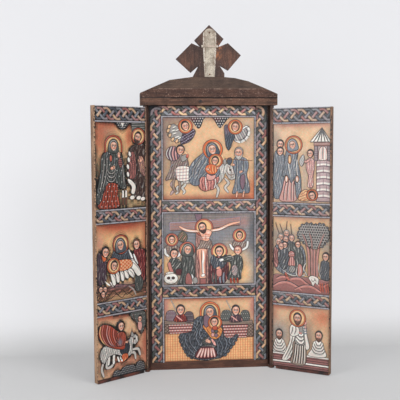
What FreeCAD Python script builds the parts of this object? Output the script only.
import FreeCAD, Part
import os
import Sketcher
from FreeCAD import Vector

# A carved and painted folding triptych: a centre panel that stands in a low rail, a pediment with
# a cross on top, and two wings whose posts turn in the pediment and in lugs at the ends of the rail.
# Millimetres. The origin is on the floor under the middle of the centre panel, the front faces -Y.

# Named sizes of the whole object
SIZES = {
    # Centre panel
    "panel_width": 211.0,
    "panel_depth": 20.0,
    "panel_rim": 1.8,
    "lip_thickness": 9.0,
    "scene_width": 164.6,
    "line_width": 2.2,
    "scene_recess": 2.0,
    "figure_rise": 0.85,
    "band_recess": 1.4,
    "lower_scene_height": 116.0,
    "lower_band_height": 22.0,
    "middle_scene_height": 130.0,
    "upper_band_height": 21.5,
    "upper_scene_height": 147.2,
    "top_band_height": 19.3,
    # Rail under the panel, with a groove for the panel and a lug at each end
    "rail_height": 13.0,
    "rail_tongue_inset": 10.0,
    "rail_tongue_height": 6.0,
    "tongue_depth": 8.0,
    "lug_height": 4.0,
    "lug_radius": 4.6,
    # Pediment, which overhangs the line that each wing turns about
    "pediment_overhang": 8.7,
    "pediment_height": 49.0,
    "pediment_reach": 11.5,
    "bevel_start": 28.0,
    "bevel_depth": 9.0,
    "fascia_height": 12.6,
    "fascia_setback": 1.2,
    "fascia_start": 66.0,
    "groove_height": 1.6,
    "groove_depth": 2.2,
    "tenon_width": 60.0,
    "tenon_height": 12.0,
    "peg_diameter": 5.0,
    "peg_offset": 15.7,
    "peg_height": 6.5,
    "peg_proud": 1.0,
    # Wings and the posts that they hang on
    "wing_thickness": 9.0,
    "wing_reach": 110.8,
    "wing_taper": 1.2,
    "wing_corner": 3.0,
    "wing_rim": 1.4,
    "wing_band_height": 24.2,
    "left_wing_top": 465.2,
    "left_lower_scene_height": 112.4,
    "left_middle_scene_height": 131.4,
    "left_upper_scene_height": 145.8,
    "left_open_angle": 36.7,
    "right_wing_top": 463.6,
    "right_lower_scene_height": 115.8,
    "right_middle_scene_height": 133.6,
    "right_upper_scene_height": 138.0,
    "right_open_angle": 33.3,
    "post_radius": 3.6,
    "post_flat": 2.3,
    "post_side_gap": 2.4,
    "pivot_radius": 2.1,
    "pivot_length": 9.0,
    "notch_reach": 10.0,
    # Cross, its tin strap and the nails
    "cross_width": 114.4,
    "cross_height": 90.0,
    "cross_thickness": 8.0,
    "cross_tenon_width": 22.0,
    "cross_tenon_height": 14.0,
    "crack_gap": 0.3,
    "strap_thickness": 0.7,
    "strap_width": 23.2,
    "strap_shift": 1.9,
    "strap_head_drop": 6.3,
    "strap_foot_gap": 0.5,
    "strap_foot_width": 17.6,
    "bead_length": 29.0,
    "bead_width": 4.0,
    "bead_rise": 1.8,
    "nail_head_radius": 1.4,
    "nail_head_rise": 0.8,
    "nail_shank_radius": 0.6,
    "nail_shank_length": 5.0,
    "upper_nail_drop": 6.6,
    "lower_nail_rise": 4.2,
    # Clearances, roundings and the overrun of every cut
    "floor_clearance": 0.4,
    "fold_clearance": 0.8,
    "end_clearance": 0.3,
    "pivot_clearance": 0.08,
    "joint_clearance": 0.15,
    "board_rounding": 0.7,
    "cross_rounding": 0.6,
    "overrun": 2.0,
}

doc = FreeCAD.newDocument("Triptych")
sheet = doc.addObject("Spreadsheet::Sheet", "Sizes")
for row, (word, number) in enumerate(SIZES.items(), start=1):
    sheet.set(f"A{row}", word)
    sheet.set(f"B{row}", str(number))
    sheet.setAlias(f"B{row}", word)
doc.recompute()


class Size:
    """A length of the object: its number now, and the sheet formula that keeps it."""

    def __init__(self, number, formula):
        self.number = number
        self.formula = formula

    @staticmethod
    def of(value):
        return value if isinstance(value, Size) else Size(value, repr(value))

    def __add__(self, other):
        other = Size.of(other)
        return Size(self.number + other.number, f"({self.formula} + {other.formula})")

    def __sub__(self, other):
        other = Size.of(other)
        return Size(self.number - other.number, f"({self.formula} - {other.formula})")

    def __mul__(self, factor):
        factor = Size.of(factor)
        return Size(self.number * factor.number, f"({self.formula} * {factor.formula})")

    def __truediv__(self, divisor):
        return Size(self.number / divisor, f"({self.formula} / {divisor})")

    def __neg__(self):
        return self * -1


def size(word):
    """The named size with that word in the sheet."""
    return Size(SIZES[word], f"Sizes.{word}")


ZERO = Size(0.0, "0")
overrun = size("overrun")
joint_clearance = size("joint_clearance")

# Heights, from the floor up
panel_bottom = size("rail_height")
lower_scene_top = panel_bottom + size("lower_scene_height")
middle_scene_bottom = lower_scene_top + size("lower_band_height")
middle_scene_top = middle_scene_bottom + size("middle_scene_height")
upper_scene_bottom = middle_scene_top + size("upper_band_height")
upper_scene_top = upper_scene_bottom + size("upper_scene_height")
panel_top = upper_scene_top + size("top_band_height")
pediment_top = panel_top + size("pediment_height")
cross_top = pediment_top + size("cross_height")

# Faces of the panel and of the pediment, front to back
panel_back = size("panel_depth") / 2
panel_front = -panel_back
pediment_front = panel_front - size("pediment_reach")
pediment_depth = panel_back - pediment_front
pediment_middle = (panel_back + pediment_front) / 2
cross_front = pediment_middle - size("cross_thickness") / 2

# Line that each wing turns about, beside the panel and clear of its face
panel_half = size("panel_width") / 2
axis_side = panel_half + size("post_side_gap") + size("post_radius")
axis_front = panel_front - size("fold_clearance") - size("wing_thickness") / 2
pediment_half = axis_side + size("pediment_overhang")
post_bottom = size("lug_height") + size("end_clearance")
post_top = panel_top - size("end_clearance")


# Bodies, sketches and the features cut from them

def new_body(label):
    """An empty sub-part with that name."""
    body = doc.addObject("PartDesign::Body", label)
    body.Label = label
    return body


def new_sketch(body, role, offset=ZERO):
    """A sketch on one of the body's own origin planes, moved along the plane's normal."""
    plane = [item for item in body.Origin.OriginFeatures if item.Role == role][0]
    sketch = body.newObject("Sketcher::SketchObject", "Sketch")
    sketch.AttachmentSupport = [(plane, "")]
    sketch.MapMode = "FlatFace"
    sketch.setExpression("AttachmentOffset.Base.z", offset.formula)
    return sketch


def hold_point(sketch, item, end, point):
    """Keep one end of a sketch line at a place given by two sizes."""
    for kind, place in zip(("DistanceX", "DistanceY"), point):
        index = sketch.addConstraint(Sketcher.Constraint(kind, -1, 1, item, end, place.number))
        sketch.setExpression(f"Constraints[{index}]", place.formula)


def draw_outline(sketch, points):
    """A closed outline of straight lines through the given places."""
    first = sketch.GeometryCount
    flat = [Vector(point[0].number, point[1].number, 0) for point in points]
    for index, start in enumerate(flat):
        finish = flat[(index + 1) % len(flat)]
        sketch.addGeometry(Part.LineSegment(start, finish), False)
    for index in range(len(flat)):
        following = first + (index + 1) % len(flat)
        sketch.addConstraint(Sketcher.Constraint("Coincident", first + index, 2, following, 1))
    for index, point in enumerate(points):
        hold_point(sketch, first + index, 1, point)


def draw_box(sketch, left, right, low, high):
    """A closed rectangle."""
    draw_outline(sketch, [(left, low), (right, low), (right, high), (left, high)])


def draw_circle(sketch, centre, radius):
    """A circle with its centre and radius kept by sizes."""
    middle = Vector(centre[0].number, centre[1].number, 0)
    item = sketch.addGeometry(Part.Circle(middle, Vector(0, 0, 1), radius.number), False)
    hold_point(sketch, item, 3, centre)
    index = sketch.addConstraint(Sketcher.Constraint("Radius", item, radius.number))
    sketch.setExpression(f"Constraints[{index}]", radius.formula)


def extrude(body, kind, sketch, length, both_sides=False, reverse=False):
    """A pad or a pocket of the sketch over that length."""
    feature = body.newObject(f"PartDesign::{kind}", kind)
    feature.Profile = sketch
    feature.Length = length.number
    feature.setExpression("Length", length.formula)
    feature.Midplane = both_sides
    feature.Reversed = reverse
    doc.recompute()
    return feature


def round_edges(body, edges, radius):
    """Round the edges with those numbers."""
    base = body.Tip
    fillet = body.newObject("PartDesign::Fillet", "Rounding")
    fillet.Base = (base, [f"Edge{index + 1}" for index in edges])
    fillet.Radius = radius.number
    fillet.setExpression("Radius", radius.formula)
    doc.recompute()


def round_all_edges(body, radius):
    """Round every edge that the body has so far."""
    round_edges(body, range(len(body.Tip.Shape.Edges)), radius)


def round_corner(body, across, up, radius):
    """Round the corner of a board, the edge from front to back nearest to that place."""
    corner = Vector(across.number, 0, up.number)
    edges = body.Tip.Shape.Edges
    nearest = min(range(len(edges)), key=lambda index: edges[index].CenterOfMass.distanceToPoint(corner))
    round_edges(body, [nearest], radius)


def cut_check(body, feature, name):
    """Stop where a cut took nothing away."""
    before = feature.BaseFeature.Shape.Volume
    if not feature.Shape.Volume < before:
        raise RuntimeError(f"{name} of {body.Label} cuts nothing")


# Centre panel: a board with three sunk scenes in a network of shallower braid bands. The main
# figures of each scene stand on its floor. Their outlines are in shares of half the scene's width
# and of its height.
UPPER_FIGURE_SHARES = (
    ((-0.86, 0.90), (-0.67, 0.92), (-0.59, 0.96), (-0.51, 0.97), (-0.41, 0.95), (-0.35, 0.90),
     (-0.35, 0.86), (-0.30, 0.83), (-0.34, 0.78), (-0.48, 0.70), (-0.59, 0.69), (-0.69, 0.70),
     (-0.85, 0.77), (-0.90, 0.85)),
    ((0.35, 0.90), (0.43, 0.90), (0.48, 0.95), (0.58, 0.97), (0.68, 0.94), (0.73, 0.89), (0.85, 0.89),
     (0.89, 0.86), (0.86, 0.77), (0.76, 0.72), (0.65, 0.69), (0.56, 0.73), (0.49, 0.65), (0.43, 0.61),
     (0.38, 0.68), (0.34, 0.81)),
    ((-0.91, 0.57), (-0.88, 0.63), (-0.78, 0.65), (-0.71, 0.64), (-0.68, 0.66), (-0.62, 0.67),
     (-0.54, 0.65), (-0.53, 0.59), (-0.46, 0.55), (-0.47, 0.49), (-0.47, 0.41), (-0.58, 0.26),
     (-0.93, 0.25), (-0.84, 0.40), (-0.82, 0.47), (-0.91, 0.51)),
    ((-0.51, 0.24), (-0.49, 0.29), (-0.39, 0.38), (-0.32, 0.47), (-0.12, 0.57), (-0.12, 0.64),
     (-0.03, 0.71), (0.09, 0.72), (0.21, 0.70), (0.28, 0.64), (0.29, 0.54), (0.32, 0.49), (0.49, 0.50),
     (0.50, 0.42), (0.55, 0.31), (0.55, 0.25), (0.46, 0.25), (0.37, 0.32), (0.29, 0.24), (0.22, 0.20),
     (0.14, 0.15), (-0.07, 0.11), (-0.21, 0.17), (-0.38, 0.20)),
    ((0.57, 0.49), (0.58, 0.58), (0.60, 0.62), (0.66, 0.64), (0.73, 0.62), (0.75, 0.58), (0.75, 0.52),
     (0.85, 0.50), (0.86, 0.40), (0.87, 0.31), (0.89, 0.09), (0.54, 0.08), (0.58, 0.19), (0.60, 0.31),
     (0.58, 0.40)),
)
MIDDLE_FIGURE_SHARES = (
    ((-0.85, 0.87), (-0.30, 0.88), (-0.23, 0.91), (-0.11, 0.92), (0.01, 0.91), (0.08, 0.88),
     (0.67, 0.93), (0.68, 0.84), (0.07, 0.79), (0.04, 0.69), (0.06, 0.61), (0.02, 0.51), (-0.02, 0.48),
     (-0.02, 0.02), (-0.27, 0.02), (-0.27, 0.70), (-0.31, 0.74), (-0.85, 0.76)),
    ((-0.94, 0.66), (-0.89, 0.71), (-0.81, 0.72), (-0.72, 0.70), (-0.68, 0.63), (-0.71, 0.56),
     (-0.68, 0.48), (-0.68, 0.41), (-0.63, 0.35), (-0.62, 0.24), (-0.69, 0.18), (-0.79, 0.20),
     (-0.85, 0.22), (-0.90, 0.29), (-0.88, 0.36), (-0.94, 0.41), (-0.98, 0.49), (-0.94, 0.55)),
    ((-0.98, 0.10), (-0.94, 0.16), (-0.83, 0.18), (-0.73, 0.16), (-0.69, 0.10), (-0.74, 0.04),
     (-0.84, 0.02), (-0.94, 0.04)),
    ((-0.64, 0.50), (-0.62, 0.56), (-0.48, 0.60), (-0.36, 0.56), (-0.31, 0.50), (-0.33, 0.41),
     (-0.34, 0.37), (-0.32, 0.27), (-0.30, 0.16), (-0.30, 0.02), (-0.67, 0.02), (-0.60, 0.16),
     (-0.59, 0.37), (-0.63, 0.43)),
    ((0.00, 0.02), (0.01, 0.22), (0.02, 0.37), (0.07, 0.41), (0.05, 0.46), (0.09, 0.54), (0.22, 0.57),
     (0.35, 0.54), (0.39, 0.48), (0.39, 0.41), (0.50, 0.40), (0.57, 0.43), (0.55, 0.48), (0.46, 0.55),
     (0.52, 0.58), (0.53, 0.69), (0.57, 0.74), (0.66, 0.76), (0.76, 0.74), (0.80, 0.68), (0.78, 0.61),
     (0.86, 0.59), (0.84, 0.53), (0.73, 0.47), (0.69, 0.41), (0.73, 0.36), (0.74, 0.22), (0.71, 0.07),
     (0.45, 0.07), (0.43, 0.15), (0.39, 0.02)),
)
LOWER_FIGURE_SHARES = (
    ((-0.32, 0.65), (-0.21, 0.70), (-0.20, 0.83), (-0.12, 0.91), (0.01, 0.93), (0.15, 0.91),
     (0.22, 0.84), (0.23, 0.71), (0.27, 0.64), (0.27, 0.52), (0.31, 0.40), (0.46, 0.36), (0.60, 0.38),
     (0.56, 0.32), (0.45, 0.22), (0.35, 0.12), (0.26, 0.07), (0.10, 0.04), (-0.07, 0.02),
     (-0.27, 0.04), (-0.39, 0.08), (-0.48, 0.13), (-0.54, 0.22), (-0.62, 0.29), (-0.63, 0.42),
     (-0.40, 0.46), (-0.35, 0.56)),
    ((-0.98, 0.65), (-0.94, 0.77), (-0.84, 0.81), (-0.76, 0.77), (-0.73, 0.85), (-0.63, 0.89),
     (-0.54, 0.85), (-0.53, 0.76), (-0.45, 0.77), (-0.38, 0.73), (-0.39, 0.63), (-0.43, 0.54),
     (-0.46, 0.47), (-0.85, 0.47), (-0.98, 0.48)),
    ((0.32, 0.62), (0.29, 0.75), (0.38, 0.79), (0.46, 0.77), (0.49, 0.84), (0.59, 0.86), (0.68, 0.84),
     (0.71, 0.77), (0.79, 0.78), (0.87, 0.75), (0.90, 0.63), (0.95, 0.62), (0.95, 0.39), (0.68, 0.39),
     (0.63, 0.42), (0.37, 0.43), (0.33, 0.52)),
)


def figure_points(shares, low, high):
    """Places in a scene, from shares of half its width and of its height."""
    half = size("scene_width") / 2 - size("line_width") / 2
    return [(half * across, low + (high - low) * up) for across, up in shares]


def make_centre_panel():
    body = new_body("centre_panel")
    board = new_sketch(body, "XZ_Plane")
    draw_box(board, -panel_half, panel_half, panel_bottom, panel_top)
    extrude(body, "Pad", board, size("panel_depth"), both_sides=True)

    # Lip behind each post, which closes the gap beside the panel
    lip = new_sketch(body, "XZ_Plane", -panel_back)
    draw_box(lip, -axis_side, axis_side, panel_bottom, panel_top)
    extrude(body, "Pad", lip, size("lip_thickness"))

    tongue = new_sketch(body, "XZ_Plane")
    tongue_half = panel_half - size("rail_tongue_inset")
    draw_box(tongue, -tongue_half, tongue_half, panel_bottom - size("rail_tongue_height"), panel_bottom)
    extrude(body, "Pad", tongue, size("tongue_depth"), both_sides=True)

    tenon = new_sketch(body, "XZ_Plane")
    tenon_half = size("tenon_width") / 2
    draw_box(tenon, -tenon_half, tenon_half, panel_top, panel_top + size("tenon_height"))
    extrude(body, "Pad", tenon, size("tongue_depth"), both_sides=True)

    line_half = size("line_width") / 2
    frame_half = size("scene_width") / 2 + line_half
    field_half = size("scene_width") / 2 - line_half
    band_half = panel_half - size("panel_rim")
    open_bottom = panel_bottom - overrun / 2

    bands = new_sketch(body, "XZ_Plane", panel_back)
    draw_box(bands, -band_half, band_half, panel_bottom - overrun, panel_top + overrun)
    draw_box(bands, -frame_half, frame_half, open_bottom, lower_scene_top + line_half)
    draw_box(bands, -frame_half, frame_half, middle_scene_bottom - line_half, middle_scene_top + line_half)
    draw_box(bands, -frame_half, frame_half, upper_scene_bottom - line_half, upper_scene_top + line_half)
    cut_check(body, extrude(body, "Pocket", bands, size("band_recess")), "Braid bands")

    scenes = new_sketch(body, "XZ_Plane", panel_back)
    draw_box(scenes, -field_half, field_half, open_bottom, lower_scene_top - line_half)
    draw_box(scenes, -field_half, field_half, middle_scene_bottom + line_half, middle_scene_top - line_half)
    draw_box(scenes, -field_half, field_half, upper_scene_bottom + line_half, upper_scene_top - line_half)
    cut_check(body, extrude(body, "Pocket", scenes, size("scene_recess")), "Scenes")

    for outlines, low, high in (
            (UPPER_FIGURE_SHARES, upper_scene_bottom + line_half, upper_scene_top - line_half),
            (MIDDLE_FIGURE_SHARES, middle_scene_bottom + line_half, middle_scene_top - line_half),
            (LOWER_FIGURE_SHARES, panel_bottom, lower_scene_top - line_half)):
        figures = new_sketch(body, "XZ_Plane")
        for outline in outlines:
            draw_outline(figures, figure_points(outline, low, high))
        extrude(body, "Pad", figures, panel_back - size("scene_recess") + size("figure_rise"))

    peg_hole = new_sketch(body, "XZ_Plane")
    draw_circle(peg_hole, (-size("peg_offset"), panel_top + size("peg_height")), peg_hole_radius())
    cut_check(body, extrude(body, "Pocket", peg_hole, size("panel_depth"), both_sides=True), "Peg hole")


def peg_hole_radius():
    """Radius of the hole that the fascia peg is driven through."""
    return size("peg_diameter") / 2 + joint_clearance / 2


# Bottom rail: grooved for the panel's tongue, with a drilled lug beyond each end
LUG_SLANT_SHARES = (0.6, 0.8)


def make_bottom_rail():
    body = new_body("bottom_rail")
    bar = new_sketch(body, "XY_Plane")
    draw_box(bar, -panel_half, panel_half, panel_front, panel_back)
    extrude(body, "Pad", bar, size("rail_height"))
    round_all_edges(body, size("board_rounding"))

    # Lip at the back, in line with the panel's
    lip = new_sketch(body, "XY_Plane")
    draw_box(lip, -axis_side, axis_side, panel_back - size("lip_thickness"), panel_back - size("board_rounding"))
    extrude(body, "Pad", lip, size("rail_height"))

    lug_radius = size("lug_radius")
    across, along = (lug_radius * share for share in LUG_SLANT_SHARES)
    root = panel_half - size("board_rounding") * 2
    for side in (-1, 1):
        arm = new_sketch(body, "XY_Plane")
        draw_outline(arm, [
            (root * side, ZERO),
            (root * side, panel_front + size("board_rounding") * 2),
            (panel_half * side, panel_front),
            ((axis_side - across) * side, axis_front - along),
            ((axis_side + across) * side, axis_front + along),
            (panel_half * side, panel_front + lug_radius)])
        extrude(body, "Pad", arm, size("lug_height"))
        end = new_sketch(body, "XY_Plane")
        draw_circle(end, (axis_side * side, axis_front), lug_radius)
        extrude(body, "Pad", end, size("lug_height"))
        bore = new_sketch(body, "XY_Plane", size("lug_height"))
        draw_circle(bore, (axis_side * side, axis_front), size("pivot_radius") + size("pivot_clearance"))
        cut_check(body, extrude(body, "Pocket", bore, size("lug_height") + overrun), "Lug bore")

    groove = new_sketch(body, "XY_Plane", panel_bottom)
    groove_half = panel_half - size("rail_tongue_inset") + joint_clearance
    groove_back = size("tongue_depth") / 2 + joint_clearance
    draw_box(groove, -groove_half, groove_half, -groove_back, groove_back)
    groove_depth = size("rail_tongue_height") + joint_clearance
    cut_check(body, extrude(body, "Pocket", groove, groove_depth), "Tongue groove")


# Pediment: a low gable whose upper face leans back, with a set back fascia under a groove
PEDIMENT_OUTLINE_SHARES = (
    (-1.0, 0.42),
    (-1.0, 0.0),
    (1.0, 0.0),
    (1.0, 0.40),
    (0.58, 0.85),
    (0.39, 0.965),
    (0.25, 1.0),
    (-0.25, 1.0),
    (-0.57, 0.888),
)


def make_pediment():
    body = new_body("pediment")
    half = pediment_half
    height = size("pediment_height")
    outline = new_sketch(body, "XZ_Plane", -panel_back)
    draw_outline(outline, [(half * across, panel_top + height * up) for across, up in PEDIMENT_OUTLINE_SHARES])
    extrude(body, "Pad", outline, pediment_depth)

    lean = new_sketch(body, "YZ_Plane")
    bevel_height = panel_top + size("bevel_start")
    draw_outline(lean, [
        (pediment_front - overrun, bevel_height),
        (pediment_front, bevel_height),
        (pediment_front + size("bevel_depth"), pediment_top),
        (pediment_front + size("bevel_depth"), pediment_top + overrun),
        (pediment_front - overrun, pediment_top + overrun)])
    whole = half * 2 + overrun
    cut_check(body, extrude(body, "Pocket", lean, whole, both_sides=True), "Leaning face")
    round_all_edges(body, size("board_rounding"))

    fascia = new_sketch(body, "XZ_Plane", -pediment_front)
    draw_outline(fascia, [
        (-size("fascia_start") - size("fascia_height"), panel_top - overrun),
        (half + overrun, panel_top - overrun),
        (half + overrun, panel_top + size("fascia_height")),
        (-size("fascia_start"), panel_top + size("fascia_height"))])
    cut_check(body, extrude(body, "Pocket", fascia, size("fascia_setback")), "Fascia")

    groove = new_sketch(body, "XZ_Plane", -pediment_front)
    groove_low = panel_top + size("fascia_height") - size("groove_height") / 2
    draw_box(groove, -size("fascia_start"), half - size("board_rounding") * 2, groove_low,
             groove_low + size("groove_height"))
    cut_check(body, extrude(body, "Pocket", groove, size("groove_depth")), "Groove")

    mortise = new_sketch(body, "XY_Plane", panel_top)
    tenon_half = size("tenon_width") / 2 + joint_clearance
    tenon_back = size("tongue_depth") / 2 + joint_clearance
    draw_box(mortise, -tenon_half, tenon_half, -tenon_back, tenon_back)
    depth = size("tenon_height") + joint_clearance
    cut_check(body, extrude(body, "Pocket", mortise, depth, reverse=True), "Panel mortise")

    seat = new_sketch(body, "XY_Plane", pediment_top)
    seat_half = size("cross_tenon_width") / 2 + joint_clearance
    seat_back = size("cross_thickness") / 2 - size("cross_rounding") + joint_clearance
    draw_box(seat, -seat_half, seat_half, pediment_middle - seat_back, pediment_middle + seat_back)
    depth = size("cross_tenon_height") + joint_clearance
    cut_check(body, extrude(body, "Pocket", seat, depth), "Cross mortise")

    sockets = new_sketch(body, "XY_Plane", panel_top)
    for side in (-1, 1):
        draw_circle(sockets, (axis_side * side, axis_front), size("pivot_radius") + size("pivot_clearance"))
    depth = size("pivot_length") + size("end_clearance")
    cut_check(body, extrude(body, "Pocket", sockets, depth, reverse=True), "Post sockets")

    peg_hole = new_sketch(body, "XZ_Plane", -pediment_front)
    draw_circle(peg_hole, (-size("peg_offset"), panel_top + size("peg_height")), peg_hole_radius())
    cut_check(body, extrude(body, "Pocket", peg_hole, pediment_depth + overrun), "Peg hole")


# Fascia peg: the dowel that pins the pediment to the panel's tenon
def make_fascia_peg():
    body = new_body("fascia_peg")
    dowel = new_sketch(body, "XZ_Plane", -panel_back)
    draw_circle(dowel, (-size("peg_offset"), panel_top + size("peg_height")), size("peg_diameter") / 2)
    extrude(body, "Pad", dowel, pediment_depth + size("peg_proud"))


# Cross, cracked across its neck: a lower part on a tenon, and the crown above the crack
CROSS_OUTLINE_SHARES = (
    (-0.49, 0.0),
    (0.49, 0.0),
    (0.49, 0.077),
    (0.332, 0.232),
    (0.604, 0.133),
    (1.0, 0.425),
    (0.598, 0.658),
    (0.348, 0.592),
    (-0.241, 0.575),
    (-0.52, 0.651),
    (-1.0, 0.347),
    (-0.544, 0.087),
    (-0.301, 0.222),
)
CROWN_OUTLINE_SHARES = (
    (-0.241, 0.575),
    (0.305, 0.590),
    (0.466, 0.734),
    (0.02, 1.0),
    (-0.43, 0.705),
)


def cross_points(shares, lift):
    """Places on the cross, from shares of half its width and of its height."""
    half = size("cross_width") / 2
    height = size("cross_height")
    return [(half * across, pediment_top + height * up + lift) for across, up in shares]


def make_cross():
    finial = new_body("cross_finial")
    outline = new_sketch(finial, "XZ_Plane", -pediment_middle)
    draw_outline(outline, cross_points(CROSS_OUTLINE_SHARES, ZERO))
    extrude(finial, "Pad", outline, size("cross_thickness"), both_sides=True)
    round_all_edges(finial, size("cross_rounding"))
    tenon = new_sketch(finial, "XZ_Plane", -pediment_middle)
    tenon_half = size("cross_tenon_width") / 2
    tenon_depth = size("cross_thickness") - size("cross_rounding") * 2
    draw_box(tenon, -tenon_half, tenon_half, pediment_top - size("cross_tenon_height"),
             pediment_top + size("cross_rounding"))
    extrude(finial, "Pad", tenon, tenon_depth, both_sides=True)
    bore_nail(finial, strap_foot + size("lower_nail_rise"))

    crown = new_body("cross_crown")
    outline = new_sketch(crown, "XZ_Plane", -pediment_middle)
    draw_outline(outline, cross_points(CROWN_OUTLINE_SHARES, size("crack_gap")))
    extrude(crown, "Pad", outline, size("cross_thickness"), both_sides=True)
    round_all_edges(crown, size("cross_rounding"))
    bore_nail(crown, strap_head - size("upper_nail_drop"))


# Tin strap over the crack: two flat strips that meet at a rolled bead, held by two nails
CRACK_HEIGHT_SHARE = 0.592
bead_middle = pediment_top + size("cross_height") * CRACK_HEIGHT_SHARE
bead_top = bead_middle + size("bead_width") / 2
bead_bottom = bead_middle - size("bead_width") / 2
strap_head = cross_top - size("strap_head_drop")
strap_foot = pediment_top + size("strap_foot_gap")
strap_middle = size("strap_shift")


def make_strap():
    half = size("strap_width") / 2
    upper = new_body("strap_upper")
    plate = new_sketch(upper, "XZ_Plane", -cross_front)
    draw_box(plate, strap_middle - half, strap_middle + half, bead_top, strap_head - half)
    extrude(upper, "Pad", plate, size("strap_thickness"))
    head = new_sketch(upper, "XZ_Plane", -cross_front)
    draw_circle(head, (strap_middle, strap_head - half), half)
    extrude(upper, "Pad", head, size("strap_thickness"))
    bore_nail(upper, strap_head - size("upper_nail_drop"))

    lower = new_body("strap_lower")
    foot_half = size("strap_foot_width") / 2
    plate = new_sketch(lower, "XZ_Plane", -cross_front)
    draw_outline(plate, [
        (strap_middle - foot_half, strap_foot),
        (strap_middle + foot_half, strap_foot),
        (strap_middle + half, bead_bottom),
        (strap_middle - half, bead_bottom)])
    extrude(lower, "Pad", plate, size("strap_thickness"))
    bore_nail(lower, strap_foot + size("lower_nail_rise"))

    bead = new_body("strap_bead")
    bead_half = size("bead_length") / 2
    bar = new_sketch(bead, "XZ_Plane", -cross_front)
    draw_box(bar, strap_middle - bead_half, strap_middle + bead_half, bead_bottom, bead_top)
    extrude(bead, "Pad", bar, size("bead_rise"))
    round_all_edges(bead, size("strap_thickness"))


def bore_nail(body, height):
    """Hole for a nail shank, straight in from the front of the strap."""
    hole = new_sketch(body, "XZ_Plane", -(cross_front - size("strap_thickness")))
    draw_circle(hole, (strap_middle, height), size("nail_shank_radius"))
    cut_check(body, extrude(body, "Pocket", hole, size("nail_shank_length")), "Nail hole")


def make_nail(label, height):
    body = new_body(label)
    plate_front = cross_front - size("strap_thickness")
    head = new_sketch(body, "XZ_Plane", -plate_front)
    draw_circle(head, (strap_middle, height), size("nail_head_radius"))
    extrude(body, "Pad", head, size("nail_head_rise"))
    front = min(range(len(body.Tip.Shape.Edges)), key=lambda index: body.Tip.Shape.Edges[index].BoundBox.YMax)
    round_edges(body, [front], size("nail_head_rise") / 2)
    shank = new_sketch(body, "XZ_Plane", -plate_front)
    draw_circle(shank, (strap_middle, height), size("nail_shank_radius"))
    extrude(body, "Pad", shank, size("nail_shank_length"), reverse=True)


# Wings, each drawn along its own board from the line that it turns about, then swung open
def hang(body, side):
    """Set a piece of a wing on its turning line at the angle that the wing stands at."""
    name = "left_open_angle" if side < 0 else "right_open_angle"
    body.setExpression("Placement.Base.x", (axis_side * side).formula)
    body.setExpression("Placement.Base.y", axis_front.formula)
    body.setExpression("Placement.Rotation.Angle", (size(name) * -side).formula)


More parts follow.
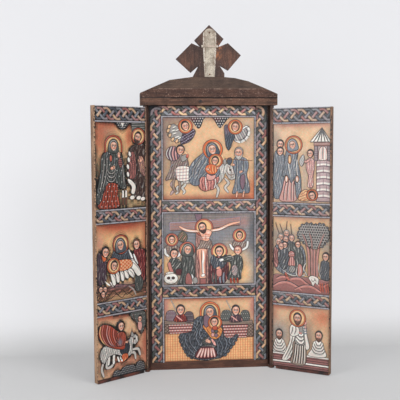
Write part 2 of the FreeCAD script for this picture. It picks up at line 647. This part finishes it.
def make_wing(name, side):
    body = new_body(f"{name}_wing")
    half = size("wing_thickness") / 2
    bottom = size("floor_clearance")
    top = size(f"{name}_wing_top")
    foot = size("wing_reach") - size("wing_taper")
    board = new_sketch(body, "XZ_Plane")
    draw_outline(board, [
        (size("post_flat") * side, post_bottom),
        (size("notch_reach") * side, post_bottom),
        (size("notch_reach") * side, bottom),
        (foot * side, bottom),
        (size("wing_reach") * side, top),
        (size("post_flat") * side, top)])
    extrude(body, "Pad", board, size("wing_thickness"), both_sides=True)
    round_corner(body, foot * side, bottom, size("wing_corner"))
    round_all_edges(body, size("board_rounding"))

    inner = size("post_flat") + size("wing_rim")
    outer = foot - size("wing_rim")
    line = size("line_width")
    band = size("wing_band_height")
    first_top = bottom + size(f"{name}_lower_scene_height")
    second_bottom = first_top + band
    second_top = second_bottom + size(f"{name}_middle_scene_height")
    third_bottom = second_top + band
    third_top = third_bottom + size(f"{name}_upper_scene_height")

    scenes = new_sketch(body, "XZ_Plane", half)
    scene_floor = post_bottom + size("wing_rim")
    for low, high in ((scene_floor, first_top), (second_bottom, second_top), (third_bottom, third_top)):
        draw_box(scenes, inner * side, outer * side, low, high)
    cut_check(body, extrude(body, "Pocket", scenes, size("scene_recess")), "Scenes")

    bands = new_sketch(body, "XZ_Plane", half)
    top_line = top - size("wing_rim")
    for low, high in ((first_top, second_bottom), (second_top, third_bottom), (third_top, top_line + line)):
        draw_box(bands, inner * side, outer * side, low + line, high - line)
    cut_check(body, extrude(body, "Pocket", bands, size("band_recess")), "Braid bands")
    hang(body, side)


# Hinge posts: round at the panel, flat at the wing, with a turned pivot at each end
def make_post(name, side):
    body = new_body(f"{name}_hinge_post")
    rod = new_sketch(body, "XY_Plane", post_bottom)
    draw_circle(rod, (ZERO, ZERO), size("post_radius"))
    extrude(body, "Pad", rod, post_top - post_bottom)
    flat = new_sketch(body, "XY_Plane", post_bottom)
    reach = size("post_radius") + overrun
    draw_box(flat, size("post_flat") * side, reach * side, -reach, reach)
    cut_check(body, extrude(body, "Pocket", flat, post_top - post_bottom, reverse=True), "Flat")
    upper = new_sketch(body, "XY_Plane", post_top)
    draw_circle(upper, (ZERO, ZERO), size("pivot_radius"))
    extrude(body, "Pad", upper, size("pivot_length"))
    lower = new_sketch(body, "XY_Plane", post_bottom)
    draw_circle(lower, (ZERO, ZERO), size("pivot_radius"))
    extrude(body, "Pad", lower, post_bottom - size("floor_clearance"), reverse=True)
    hang(body, side)


make_centre_panel()
make_bottom_rail()
make_pediment()
make_fascia_peg()
make_cross()
make_strap()
make_nail("strap_nail_upper", strap_head - size("upper_nail_drop"))
make_nail("strap_nail_lower", strap_foot + size("lower_nail_rise"))
for wing_name, wing_side in (("left", -1), ("right", 1)):
    make_wing(wing_name, wing_side)
    make_post(wing_name, wing_side)
doc.recompute()

# Check every feature and piece, then write one file for each piece
faulty = [item.Name for item in doc.Objects if "Invalid" in item.State or "Error" in item.State]
if faulty:
    raise RuntimeError(f"Failed features: {faulty}")
pieces = [item for item in doc.Objects if item.TypeId == "PartDesign::Body"]
os.makedirs("parts", exist_ok=True)
for piece in pieces:
    shape = piece.Shape
    if shape.isNull() or not shape.isValid() or len(shape.Solids) != 1:
        raise RuntimeError(f"{piece.Label} is not one valid solid")
    shape.exportStep(f"parts/{piece.Label}.step")
    print(f"{piece.Label}: {shape.Volume / 1000:.1f} cm3")
